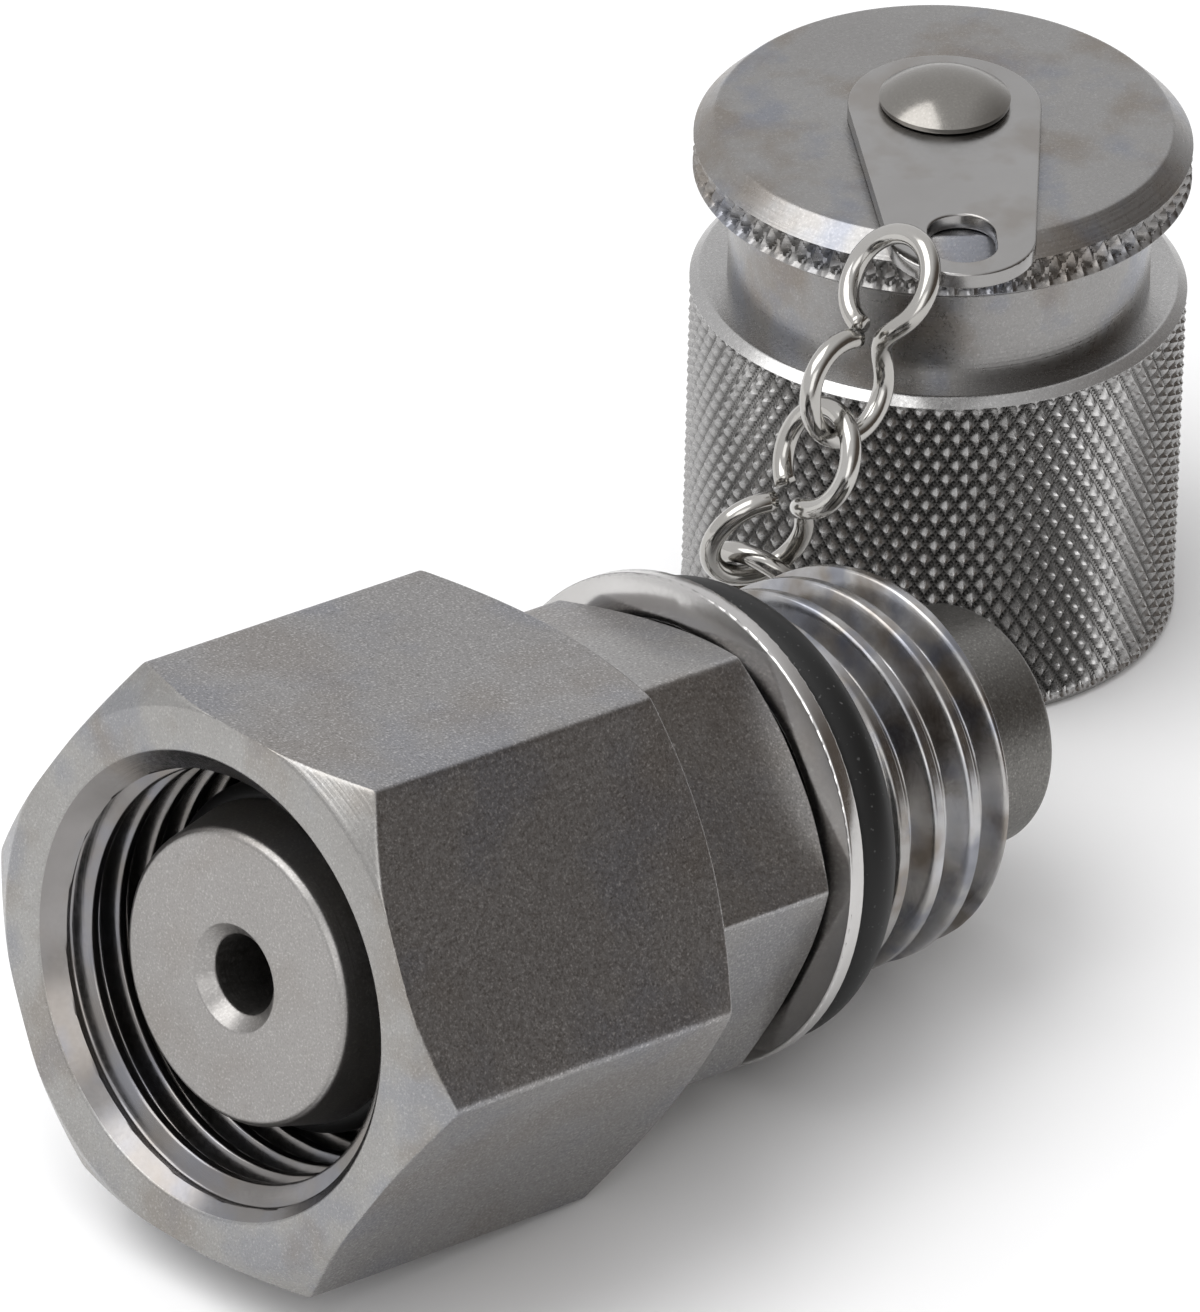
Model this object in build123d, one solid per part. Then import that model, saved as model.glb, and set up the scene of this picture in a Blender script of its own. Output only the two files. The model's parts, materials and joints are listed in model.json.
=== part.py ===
from build123d import *
import os
from math import cos, sin, radians, sqrt, asin

# Test point coupling: M16x2 test end, M18x1.5 swivel nut on a 24 degree cone, cap on a chain.
# Millimetres. +Z up, the table is z = 0. The coupling's own axis is local X, nut front at x = 0.

# ---- swivel nut (M18x1.5)
NUT_AF = 22.0                 # across flats
NUT_LEN = 17.3
NUT_FACE_R = 11.14            # edge of the turned front face
NUT_CHAMFER = 1.1             # axial depth of the corner chamfer, front
NUT_REAR_CHAMFER = 1.35
NUT_REAR_R = 10.4
NUT_MOUTH_R = 9.42            # countersink at the front
NUT_MOUTH_DEPTH = 1.25
NUT_MINOR_R = 8.19            # M18x1.5 minor radius
NUT_MAJOR_R = 9.0
NUT_PITCH = 1.5
NUT_THREAD_AT = -0.625        # middle of the first groove, below the axis
NUT_THREAD_TURNS = 7.5
NUT_THREAD_END = 10.2
NUT_RELIEF_R = 9.1
NUT_RELIEF_END = 11.7
SWIVEL_GAP = 0.05             # radial running gap of the nut on the tail
THREAD_ROOT_FLAT = 0.13       # half the groove's floor, as a share of the pitch
THREAD_MOUTH = 0.43           # half the groove's mouth, as a share of the pitch

# ---- tail of the body (24 degree cone)
TAIL_X = 1.39                 # the tail's flat end lies inside the nut
TAIL_R = 5.97
TAIL_NECK_R = 7.4
CONE_HALF = 12.0              # degrees
CONE_SEAL_X = 4.95
CONE_SEAL_R = 0.75            # section radius of the cone seal
CONE_SEAL_FLOOR = 5.55
WIRE_X = NUT_LEN - 2.7        # retaining wire
WIRE_R = 0.8
WIRE_SPAN = 335               # degrees of wire, open at one place
WIRE_HOLE_AT = -120           # where the wire is fed in through the nut
WIRE_HOLE_DEPTH = 6.0
WIRE_HOLE_MIDDLE = 10.0
TAIL_BORE_R = 1.6
TAIL_BORE_MOUTH = 2.2

# ---- body hexagon, neck, thread and nose
HEX_AF = 17.0
HEX_FRONT = NUT_LEN + 0.2
HEX_REAR = 24.9
HEX_TURN = 110.0              # angle of one corner about the axis
NECK_R = 7.0
THREAD_START = 29.1
THREAD_END = 36.9
THREAD_R = 7.95               # M16x2 crest radius
THREAD_CORE = 6.87            # floor of the groove
THREAD_PITCH = 2.0
THREAD_AT = 30.27             # middle of the groove where it begins
THREAD_FROM = 60.0            # and its angle there
THREAD_TURNS = 3.9
NOSE_R = 4.94
NOSE_END = 42.0
DUST_SEAL_X = 27.65
DUST_SEAL_R = 1.25
DUST_SEAL_MAJOR = NECK_R + DUST_SEAL_R

# ---- valve inside the body
CHAMBER_START = 19.6
CHAMBER_R = 3.1
SEAT_X = 33.0
SEAT_POCKET_R = 3.7
SEAT_END = 39.6
SEAT_BORE_R = 1.9             # socket for the probe's pin
SEAT_MOUTH_R = 3.0
SEAT_DEPTH = 1.4
PIN_TIP = 37.8
PIN_R = 1.0
GUIDE_R = 3.03
GUIDE_START = 29.6
STEM_R = 1.3
STEM_END = 25.0
FLAT_DEPTH = 0.58             # three flats on the poppet let the oil by
FLAT_LENGTH = 3.0
SEAT_GAP = 0.04
POPPET_SEAL_X = 33.75
POPPET_SEAL_R = 0.32
SPRING_WIRE = 0.35
SPRING_MEAN = 2.25
SPRING_TURNS = 5
PROBE_SEAL_R = 0.7
PROBE_SEAL_X = SEAT_END + PROBE_SEAL_R + 0.02
PROBE_SEAL_MAJOR = SEAT_POCKET_R - PROBE_SEAL_R - 0.02
RETAINER_X = SEAT_END + 1.46
RETAINER_T = 0.6
LIP_X = 41.7
LIP_R = 3.2

# ---- chain ring with ear
RING_R = 10.0
RING_HOLE_R = 8.15
RING_T = 0.75
RING_X = 25.5                 # mid-plane
RING_LIFT = 0.25              # the loose ring stands on the table
EAR_ANGLE = -5.5              # above level, on the far side
EAR_HOLE_R = 1.25
EAR_WEB = 1.1
EAR_WEB_AT = 13.75            # middle of the web outside the ear's hole

# ---- chain links (bent wire)
LINK_WIRE = 0.425             # wire radius
LOOP_R = 2.05                 # to the wire's middle
LOOP_AT = 2.26                # loop centre from the link's middle
LOOP_FROM = 15.0
LOOP_TO = 315.0
LINK_GAP = 0.08
HOOK = 2 * LINK_WIRE + LINK_GAP   # wire to wire where two links hook
WEB_HOOK = 1.2                # first link above the tab's web

# ---- cap
CAP_R = 10.0
CAP_H = 22.25
CAP_TOP_R = 9.2
CAP_RIM_Z = CAP_H - 2.55
CAP_RIM_TOP = CAP_H - 0.85
CAP_GROOVE_R = 8.53
CAP_SKIRT_Z = CAP_H - 7.18
CAP_EDGE = 0.35
CAP_MOUTH_R = 8.9
CAP_MINOR_R = 6.92            # M16x2 minor radius
CAP_THREAD_END = 11.0
CAP_RELIEF_R = 8.15
CAP_RELIEF_END = 12.6
CAP_CAVITY_R = 5.7
CAP_CAVITY_END = CAP_H - 4.65
RIVET_HEAD_R = 2.65
RIVET_HEAD_H = 1.2
RIVET_R = 1.6
STAMPED_EDGE = 0.12           # rounding of the stamped ring and tab
TAB_T = 0.72
TAB_GAP = 0.03
TAB_WIDE_R = 3.9
TAB_END_R = 2.95
TAB_REACH = 13.4
TAB_TURN = -131.6             # direction of the tab, seen from above
SLOT_IN = 8.7
SLOT_OUT = 12.4
SLOT_HALF = 1.35
WEB_AT = 11.73                # where the first link crosses the slot's side

# ---- how it lies: tipped onto the nut's rear edge and the dust seal
TIP = 7.8                     # degrees, nose down
HALF = NUT_AF / 2
REST_X = NUT_LEN - NUT_REAR_CHAMFER * (HALF - NUT_REAR_R) / (NUT_AF / sqrt(3) - NUT_REAR_R)
AXIS_Z = HALF * cos(radians(TIP)) + REST_X * sin(radians(TIP))
CAP_X = 56.46
CAP_Y = 16.4
SHIFT_X = (CAP_X + CAP_R - HALF * sin(radians(TIP))) / 2
SHIFT_Y = (CAP_Y + CAP_R - NUT_AF / sqrt(3)) / 2

COUPLING = Pos(-SHIFT_X, -SHIFT_Y, AXIS_Z) * Rot(0, TIP, 0)
CAP = Pos(CAP_X - SHIFT_X, CAP_Y - SHIFT_Y, 0)
TAB = CAP * Pos(0, 0, CAP_H + TAB_GAP) * Rot(0, 0, TAB_TURN)

# swing about the hooked wire and turn about the link's own end, from the cap to the ring
FIRST_LINK = (11.2, 128.9, -74.9)
HOOKS = ((-31.9, -13.1), (41.7, -58.0), (-140.8, 54.8), (-5.5, -2.9), (-67.7, -39.9))


def turned(points):
    """Solid turned about local X from (x, r) points."""
    flat = Plane.XZ * make_face(Polyline(*points, close=True))
    return revolve(flat, Axis.X)


def ring_section(x, major, minor):
    """Round-section ring about local X."""
    return Pos(x, 0, 0) * Rot(0, 90, 0) * Torus(major, minor)


def hex_bar(across, start, end, turn):
    """Hexagon bar along local X with one corner at the angle turn."""
    outline = RegularPolygon(radius=across / sqrt(3), side_count=6, rotation=turn + 90)
    bar = extrude(outline, end - start)
    return Pos(start, 0, 0) * Rot(0, 90, 0) * bar


def thread_groove(pitch, turns, floor_r, mouth_r):
    """Solid of a right-hand thread's groove about Z: a trapezoid wound on four helices."""
    floor = THREAD_ROOT_FLAT * pitch
    mouth = THREAD_MOUTH * pitch
    corners = ((floor_r, -floor), (mouth_r, -mouth), (mouth_r, mouth), (floor_r, floor))
    wound = [Pos(0, 0, rise) * Helix(pitch=pitch, height=pitch * turns, radius=r)
             for r, rise in corners]
    sides = [Face.make_surface_from_curves(a.edge(), b.edge())
             for a, b in zip(wound, wound[1:] + wound[:1])]
    ends = [make_face(Polyline(*[edge @ t for edge in wound], close=True)).face() for t in (0, 1)]
    return Solid(Shell(sides + ends))


def coupling_body():
    cone_end = TAIL_X + (TAIL_NECK_R - TAIL_R) / sin(radians(CONE_HALF)) * cos(radians(CONE_HALF))
    tail = turned([
        (TAIL_X, 0), (TAIL_X, TAIL_R - 0.25), (TAIL_X + 0.25, TAIL_R),
        (cone_end, TAIL_NECK_R), (HEX_FRONT + 0.5, TAIL_NECK_R), (HEX_FRONT + 0.5, 0),
    ])
    corner = HEX_AF / sqrt(3)
    bar = hex_bar(HEX_AF, HEX_FRONT, HEX_REAR, HEX_TURN)
    bar &= turned([
        (HEX_FRONT, 0), (HEX_FRONT, corner - 1.0), (HEX_FRONT + 0.6, corner + 0.04),
        (HEX_REAR - 0.75, corner + 0.04), (HEX_REAR, corner - 1.26), (HEX_REAR, 0),
    ])
    end = turned([
        (HEX_REAR - 0.5, 0), (HEX_REAR - 0.5, NECK_R), (THREAD_START, NECK_R),
        (THREAD_START, THREAD_R - 0.5), (THREAD_START + 0.5, THREAD_R),
        (THREAD_END - 0.9, THREAD_R), (THREAD_END, THREAD_CORE), (THREAD_END, NOSE_R),
        (NOSE_END - 0.3, NOSE_R), (NOSE_END, NOSE_R - 0.3), (NOSE_END, 0),
    ])
    groove = thread_groove(THREAD_PITCH, THREAD_TURNS, THREAD_CORE, THREAD_R + 0.1)
    end -= Pos(THREAD_AT, 0, 0) * Rot(THREAD_FROM, 0, 0) * Rot(0, 90, 0) * groove
    body = tail + bar + end
    bore = turned([
        (TAIL_X - 1, 0), (TAIL_X - 1, TAIL_BORE_MOUTH + 1), (TAIL_X, TAIL_BORE_MOUTH),
        (TAIL_X + 0.6, TAIL_BORE_R), (CHAMBER_START, TAIL_BORE_R), (CHAMBER_START, CHAMBER_R),
        (SEAT_X, CHAMBER_R), (SEAT_X, SEAT_POCKET_R), (LIP_X, SEAT_POCKET_R), (LIP_X, LIP_R),
        (NOSE_END + 1, LIP_R), (NOSE_END + 1, 0),
    ])
    seal_groove = turned([
        (CONE_SEAL_X - 0.95, CONE_SEAL_FLOOR), (CONE_SEAL_X - 0.95, TAIL_NECK_R),
        (CONE_SEAL_X + 0.95, TAIL_NECK_R), (CONE_SEAL_X + 0.95, CONE_SEAL_FLOOR),
    ])
    wire_groove = ring_section(WIRE_X, TAIL_NECK_R + SWIVEL_GAP / 2, WIRE_R + 0.02)
    return body - bore - seal_groove - wire_groove


def swivel_nut():
    corner = NUT_AF / sqrt(3)
    bore_r = TAIL_NECK_R + SWIVEL_GAP
    bar = hex_bar(NUT_AF, 0, NUT_LEN, 0)
    bar &= turned([
        (0, 0), (0, NUT_FACE_R), (NUT_CHAMFER, corner + 0.02),
        (NUT_LEN - NUT_REAR_CHAMFER, corner + 0.02), (NUT_LEN, NUT_REAR_R), (NUT_LEN, 0),
    ])
    bore = turned([
        (-1, 0), (-1, NUT_MOUTH_R + 1), (0, NUT_MOUTH_R), (NUT_MOUTH_DEPTH, NUT_MINOR_R),
        (NUT_THREAD_END, NUT_MINOR_R), (NUT_THREAD_END + 0.4, NUT_RELIEF_R),
        (NUT_RELIEF_END, NUT_RELIEF_R), (NUT_RELIEF_END + NUT_RELIEF_R - bore_r, bore_r),
        (NUT_LEN + 1, bore_r), (NUT_LEN + 1, 0),
    ])
    groove = ring_section(WIRE_X, TAIL_NECK_R + SWIVEL_GAP / 2, WIRE_R + 0.06)
    hole = Cylinder(WIRE_R + 0.15, WIRE_HOLE_DEPTH)
    hole = Pos(WIRE_X, 0, 0) * Rot(WIRE_HOLE_AT, 0, 0) * Pos(0, 0, WIRE_HOLE_MIDDLE) * hole
    thread = thread_groove(NUT_PITCH, NUT_THREAD_TURNS, NUT_MAJOR_R, NUT_MINOR_R - 0.1)
    thread = Pos(NUT_THREAD_AT, 0, 0) * Rot(0, 90, 0) * thread
    return bar - bore - groove - hole - thread


def nut_retaining_wire():
    section = Plane.XZ * Pos(WIRE_X, TAIL_NECK_R + SWIVEL_GAP / 2) * Circle(WIRE_R)
    return revolve(section, Axis.X, WIRE_SPAN)


def seat_line(gap):
    """Two (x, r) points of the seat cone, moved inward by gap."""
    slope = (SEAT_MOUTH_R - SEAT_BORE_R) / SEAT_DEPTH
    return slope, SEAT_MOUTH_R - gap


def valve_poppet():
    slope, mouth = seat_line(SEAT_GAP)
    head_start = SEAT_X + (mouth - GUIDE_R) / slope
    head_end = SEAT_X + SEAT_DEPTH - 0.1
    body = turned([
        (STEM_END, 0), (STEM_END, STEM_R - 0.3), (STEM_END + 0.3, STEM_R),
        (GUIDE_START, STEM_R), (GUIDE_START, GUIDE_R), (head_start, GUIDE_R),
        (head_end, mouth - (head_end - SEAT_X) * slope), (head_end + 0.5, PIN_R),
        (PIN_TIP - 0.2, PIN_R), (PIN_TIP, PIN_R - 0.2), (PIN_TIP, 0),
    ])
    groove = ring_section(POPPET_SEAL_X - 0.1, poppet_seal_major(), POPPET_SEAL_R + 0.02)
    flat = Box(FLAT_LENGTH, 2 * GUIDE_R, 2 * GUIDE_R)
    flat_at = Pos(GUIDE_START + FLAT_LENGTH / 2 - 0.5, 2 * GUIDE_R - FLAT_DEPTH, 0)
    flats = [Rot(angle, 0, 0) * flat_at * flat for angle in (0, 120, 240)]
    return body - groove - flats


def poppet_seal_major():
    slope, mouth = seat_line(SEAT_GAP)
    return mouth - (POPPET_SEAL_X - SEAT_X) * slope - POPPET_SEAL_R


def poppet_seal():
    return ring_section(POPPET_SEAL_X - 0.1, poppet_seal_major(), POPPET_SEAL_R)


def valve_spring():
    start = CHAMBER_START + SPRING_WIRE + 0.03
    length = GUIDE_START - SPRING_WIRE - 0.03 - start
    path = Helix(pitch=length / SPRING_TURNS, height=length, radius=SPRING_MEAN)
    section = Plane(path @ 0, z_dir=path % 0) * RegularPolygon(radius=SPRING_WIRE, side_count=8)
    coil = sweep(section, path=path, is_frenet=True)
    return Pos(start, 0, 0) * Rot(0, 90, 0) * coil


def seat_bush():
    return turned([
        (SEAT_X, SEAT_MOUTH_R), (SEAT_X, SEAT_POCKET_R), (SEAT_END, SEAT_POCKET_R),
        (SEAT_END, SEAT_BORE_R), (SEAT_X + SEAT_DEPTH, SEAT_BORE_R),
    ])


def seal_retainer():
    outer = SEAT_POCKET_R - 0.03
    return turned([
        (RETAINER_X, SEAT_BORE_R + 0.35), (RETAINER_X, outer),
        (RETAINER_X + RETAINER_T, outer), (RETAINER_X + RETAINER_T, SEAT_BORE_R + 0.35),
    ])


def chain_ring():
    """Flat ring with an ear, drawn about Z, then stood on the coupling's axis."""
    hole_at = EAR_WEB_AT - EAR_WEB / 2 - EAR_HOLE_R
    ear_r = EAR_HOLE_R + EAR_WEB
    plate = Circle(RING_R) + Pos(hole_at, 0) * Circle(ear_r)
    plate += Pos(hole_at / 2 + 3, 0) * Rectangle(hole_at - 6, 2 * ear_r)
    plate -= Circle(RING_HOLE_R)
    plate -= Pos(hole_at, 0) * Circle(EAR_HOLE_R)
    ring = extrude(plate, RING_T / 2, both=True)
    ring = fillet(ring.edges().filter_by(Axis.Z, reverse=True), STAMPED_EDGE)
    ring = Rot(0, 90, 0) * Rot(0, 0, 90) * Rot(0, 0, EAR_ANGLE) * ring
    return ring


def ring_place():
    return COUPLING * Pos(RING_X, 0, RING_LIFT)


def chain_link():
    """Figure-8 of bent wire: loop A in XZ at -X, loop B in XY at +X."""
    start = radians(LOOP_FROM)
    mid = radians((LOOP_FROM + LOOP_TO) / 2)
    end = radians(LOOP_TO)

    def on_a(t):
        return Vector(-LOOP_AT + LOOP_R * cos(t), 0, LOOP_R * sin(t))

    def on_b(t):
        return Vector(LOOP_AT - LOOP_R * cos(t), LOOP_R * sin(t), 0)

    first = ThreePointArc(on_a(start), on_a(mid), on_a(end))
    last = ThreePointArc(on_b(end), on_b(mid), on_b(start))
    lean = Vector(-sin(end), 0, cos(end))
    turn = Vector(-sin(end), -cos(end), 0)
    neck = Spline(on_a(end), on_b(end), tangents=(lean, turn))
    path = Wire([first.edge(), neck.edge(), last.edge()])
    section = Plane(first @ 0, z_dir=first % 0) * Circle(LINK_WIRE)
    return sweep(section, path=path, transition=Transition.ROUND)


def link_places():
    """Place of each link: every one hooks into the one before, swung and turned by its angles."""
    reach = LOOP_AT + LOOP_R
    web_y = -(SLOT_HALF + TAB_END_R) / 2 - 0.1
    web = TAB * Pos(WEB_AT, web_y, TAB_T / 2)
    web_at = web.position
    z_turn, y_turn, x_turn = FIRST_LINK
    place = Pos(web_at.X, web_at.Y, web_at.Z + WEB_HOOK)
    place = place * Rot(0, 0, z_turn) * Rot(0, y_turn, 0) * Rot(x_turn, 0, 0) * Pos(reach, 0, 0)
    places = [place]
    for swing, turn in HOOKS:
        place = place * Pos(reach, 0, 0) * Rot(0, swing, 0) * Pos(-HOOK, 0, 0)
        place = place * Rot(0, 0, turn) * Pos(reach, 0, 0)
        places.append(place)
    return places


def cap_shell():
    """Cap about Z, open end down on z = 0."""
    outside = make_face(Polyline(
        (0, 0), (CAP_R - CAP_EDGE / 2, 0), (CAP_R, CAP_EDGE), (CAP_R, CAP_SKIRT_Z - CAP_EDGE),
        (CAP_R - CAP_EDGE, CAP_SKIRT_Z), (CAP_GROOVE_R, CAP_SKIRT_Z),
        (CAP_GROOVE_R, CAP_RIM_Z - 0.6), (CAP_R - 0.5, CAP_RIM_Z - 0.1), (CAP_R, CAP_RIM_Z + 0.3),
        (CAP_R, CAP_RIM_TOP), (CAP_TOP_R, CAP_H), (0, CAP_H), close=True))
    inside = make_face(Polyline(
        (0, -1), (CAP_MOUTH_R, -1), (CAP_MOUTH_R, 0), (CAP_MINOR_R, CAP_MOUTH_R - CAP_MINOR_R),
        (CAP_MINOR_R, CAP_THREAD_END), (CAP_RELIEF_R, CAP_THREAD_END),
        (CAP_RELIEF_R, CAP_RELIEF_END), (CAP_CAVITY_R, CAP_RELIEF_END),
        (CAP_CAVITY_R, CAP_CAVITY_END), (0, CAP_CAVITY_END), close=True))
    shell = revolve(Plane.XZ * outside, Axis.Z) - revolve(Plane.XZ * inside, Axis.Z)
    top = (CAP_CAVITY_END + CAP_H) / 2
    return shell - Pos(0, 0, top) * Cylinder(RIVET_R, CAP_H - CAP_CAVITY_END + 1)


def cap_rivet():
    seat = CAP_H + TAB_T + 2 * TAB_GAP
    dome = (RIVET_HEAD_R ** 2 + (RIVET_HEAD_H - 0.3) ** 2) / (2 * (RIVET_HEAD_H - 0.3))
    head = Cylinder(RIVET_HEAD_R, RIVET_HEAD_H, align=(Align.CENTER, Align.CENTER, Align.MIN))
    head &= Pos(0, 0, RIVET_HEAD_H - dome) * Sphere(dome)
    shank_low = CAP_CAVITY_END - 0.3
    shank = Pos(0, 0, shank_low) * Cylinder(
        RIVET_R, seat + 0.2 - shank_low, align=(Align.CENTER, Align.CENTER, Align.MIN))
    upset = Pos(0, 0, CAP_CAVITY_END - 0.8) * Cylinder(
        RIVET_R + 0.8, 0.8, align=(Align.CENTER, Align.CENTER, Align.MIN))
    return Pos(0, 0, seat) * head + shank + upset


def chain_tab():
    """Stamped plate along +X from the rivet, slot near its end."""
    end_at = TAB_REACH - TAB_END_R
    lean = asin((TAB_WIDE_R - TAB_END_R) / end_at)
    wide = (TAB_WIDE_R * sin(lean), TAB_WIDE_R * cos(lean))
    slim = (end_at + TAB_END_R * sin(lean), TAB_END_R * cos(lean))
    plate = Circle(TAB_WIDE_R) + Pos(end_at, 0) * Circle(TAB_END_R)
    plate += make_face(Polyline(
        wide, slim, (slim[0], -slim[1]), (wide[0], -wide[1]), close=True))
    plate -= Circle(RIVET_R + 0.05)
    plate -= Pos((SLOT_IN + SLOT_OUT) / 2, 0) * SlotOverall(SLOT_OUT - SLOT_IN, 2 * SLOT_HALF)
    tab = extrude(plate, TAB_T)
    return fillet(tab.edges().filter_by(Axis.Z, reverse=True), STAMPED_EDGE)


def main():
    os.makedirs("parts", exist_ok=True)
    pieces = {
        "coupling_body": COUPLING * coupling_body(),
        "swivel_nut": COUPLING * swivel_nut(),
        "nut_retaining_wire": COUPLING * nut_retaining_wire(),
        "cone_o_ring": COUPLING * ring_section(
            CONE_SEAL_X, CONE_SEAL_FLOOR + CONE_SEAL_R, CONE_SEAL_R),
        "dust_o_ring": COUPLING * ring_section(DUST_SEAL_X, DUST_SEAL_MAJOR, DUST_SEAL_R),
        "valve_poppet": COUPLING * valve_poppet(),
        "poppet_seal": COUPLING * poppet_seal(),
        "valve_spring": COUPLING * valve_spring(),
        "seat_bush": COUPLING * seat_bush(),
        "probe_seal": COUPLING * ring_section(PROBE_SEAL_X, PROBE_SEAL_MAJOR, PROBE_SEAL_R),
        "seal_retainer": COUPLING * seal_retainer(),
        "chain_ring": ring_place() * chain_ring(),
        "chain_tab": TAB * chain_tab(),
        "cap_rivet": CAP * cap_rivet(),
        "cap_shell": CAP * cap_shell(),
    }
    link = chain_link()
    for number, place in enumerate(link_places(), 1):
        pieces[f"chain_link_{number}"] = place * link
    for name, shape in pieces.items():
        shape.label = name
        export_step(shape, f"parts/{name}.step")
        box = shape.bounding_box()
        print(name, len(shape.solids()), shape.is_valid, round(shape.volume, 1), box.min, box.max)


main()
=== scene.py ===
"""Test point coupling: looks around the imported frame.

Sizes are millimetres until they enter a mesh.
"""
import json
from math import cos, pi, radians, sin, tan

import bmesh
import bpy
import numpy as np
from mathutils import Matrix, Vector


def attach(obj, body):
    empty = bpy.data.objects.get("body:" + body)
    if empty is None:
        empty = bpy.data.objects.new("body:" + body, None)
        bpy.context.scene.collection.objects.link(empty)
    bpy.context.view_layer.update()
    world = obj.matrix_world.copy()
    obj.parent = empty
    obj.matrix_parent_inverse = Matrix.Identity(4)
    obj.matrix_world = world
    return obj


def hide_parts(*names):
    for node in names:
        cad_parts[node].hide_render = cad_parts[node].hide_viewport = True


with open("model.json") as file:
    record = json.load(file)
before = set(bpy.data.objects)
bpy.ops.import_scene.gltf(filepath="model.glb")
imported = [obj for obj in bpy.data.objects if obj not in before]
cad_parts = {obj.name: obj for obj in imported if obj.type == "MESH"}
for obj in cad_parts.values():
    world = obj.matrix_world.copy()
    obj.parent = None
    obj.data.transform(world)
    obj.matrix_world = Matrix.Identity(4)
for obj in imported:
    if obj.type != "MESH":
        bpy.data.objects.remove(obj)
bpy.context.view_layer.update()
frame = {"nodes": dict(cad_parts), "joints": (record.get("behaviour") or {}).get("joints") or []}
joints = {joint["name"]: joint for joint in frame["joints"]}
MM = 0.001

# ---- places taken from the frame
swivel = joints["nut_swivel"]
AXIS = np.array(swivel["axis"], float)
SWIVEL_AT = 8.0                                   # the joint's point, behind the nut's front
FRONT = np.array(swivel["pos_m"], float) / MM - SWIVEL_AT * AXIS
SIDE = np.array([0.0, 1.0, 0.0])
OVER = np.cross(AXIS, SIDE)
CAP_AT = np.array(joints["tab_turn"]["pos_m"], float) / MM
CAP_FOOT = np.array([CAP_AT[0], CAP_AT[1], 0.0])
Z_AXIS = np.array([0.0, 0.0, 1.0])
X_AXIS = np.array([1.0, 0.0, 0.0])
COUPLING = (FRONT, AXIS, SIDE, OVER)
CAP = (CAP_FOOT, Z_AXIS, X_AXIS, SIDE)

# ---- sizes of the real piece, millimetres
NUT_AF, NUT_LEN, NUT_FACE_R = 22.0, 17.3, 11.14
NUT_CHAMFER, NUT_REAR_CHAMFER, NUT_REAR_R = 1.1, 1.35, 10.4
NUT_MOUTH_R, NUT_MOUTH_DEPTH = 9.42, 1.25
NUT_MINOR_R, NUT_MAJOR_R, NUT_PITCH = 8.19, 9.0, 1.5
NUT_THREAD_END, NUT_RELIEF_R, NUT_RELIEF_END, NUT_BORE_R = 10.2, 9.1, 11.7, 7.45
TAIL_X, TAIL_R, TAIL_NECK_R, CONE_HALF = 1.39, 5.97, 7.4, 12.0
TAIL_BORE_R, TAIL_BORE_MOUTH, TAIL_BORE_END = 1.6, 2.2, 12.0
SEAL_FROM, SEAL_TO, SEAL_FLOOR = 2.61, 4.51, 5.55     # groove in the cone, from the tail's end
SEAL_LIP_FRONT, SEAL_LIP_REAR = 0.5, 0.96             # cone above the tail's radius there
HEX_AF, HEX_FRONT, HEX_REAR, HEX_TURN = 17.0, 17.5, 24.9, 110.0
NECK_R, THREAD_START, THREAD_END = 7.0, 29.1, 36.9
THREAD_CREST, THREAD_ROOT, THREAD_PITCH, THREAD_MARK = 7.95, 6.85, 2.0, 32.44
NOSE_R, NOSE_END = 4.94, 42.0
MOUTH_R, MOUTH_END, POCKET_R, POCKET_END = 3.2, 41.7, 3.7, 33.4
DUST_X, DUST_R = 27.65, 1.25                          # middle and section of the dust ring
CAP_R, CAP_H, CAP_TOP_R, CAP_RIM_Z, CAP_RIM_TOP = 10.0, 22.25, 9.2, 19.7, 21.4
CAP_GROOVE_R, CAP_SKIRT_Z, CAP_EDGE, CAP_MOUTH_R = 8.53, 15.07, 0.35, 8.9
CAP_MINOR_R, CAP_MAJOR_R, CAP_THREAD_END = 6.92, 8.0, 11.0
CAP_RELIEF_R, CAP_RELIEF_END, CAP_CAVITY_R, CAP_CAVITY_END = 8.15, 12.6, 5.7, 17.6
RIVET_R, RIVET_HEAD_R, RIVET_HEAD_H, TAB_TOP = 1.6, 2.65, 1.2, 23.03
RIVET_EDGE, RIVET_UPSET, RIVET_DOME = 0.28, 0.8, 2.3
KNURL_ROUND, KNURL_HIGH, KNURL_DEPTH = 80, 1.25, 0.36


def bent(points, steps=5):
    """Outline through (along, radius, round) corners: each corner with a round gets an arc of that size."""
    pts = [np.array(p[:2], float) for p in points]
    rounds = [p[2] if len(p) > 2 else 0.0 for p in points]
    out = [pts[0][None]]
    for before, here, after, size in zip(pts, pts[1:], pts[2:], rounds[1:-1]):
        if size == 0:
            out.append(here[None])
            continue
        into = (before - here) / np.linalg.norm(before - here)
        away = (after - here) / np.linalg.norm(after - here)
        t = np.linspace(0, 1, steps + 1)[:, None]
        out.append(here + into * size * (1 - t) ** 2 + away * size * t ** 2)
    out.append(pts[-1][None])
    return np.concatenate(out)


def filled(outline, longest):
    """The outline with every straight run divided so that no step is over longest."""
    runs = []
    for a, b in zip(outline, outline[1:]):
        count = max(1, int(np.ceil(np.linalg.norm(b - a) / longest)))
        runs.append(a + (b - a) * (np.arange(count) / count)[:, None])
    runs.append(outline[-1:])
    return np.concatenate(runs)


def kept(outline, step, low, high):
    """True for points to keep: all outside low..high, and about one per step between them."""
    slot = np.floor(outline[:, 0] / step)
    return (outline[:, 0] < low) | (outline[:, 0] > high) | np.append(True, np.diff(slot) != 0)


def even_turn(count):
    """count angles once round."""
    return np.arange(count) * 2 * pi / count


def corner_turn(count, corners, first):
    """count angles once round, crowded towards the corners of a hexagon whose first corner is at first."""
    t = even_turn(count)
    return t - 0.75 / corners * np.sin(corners * t) + first


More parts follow.
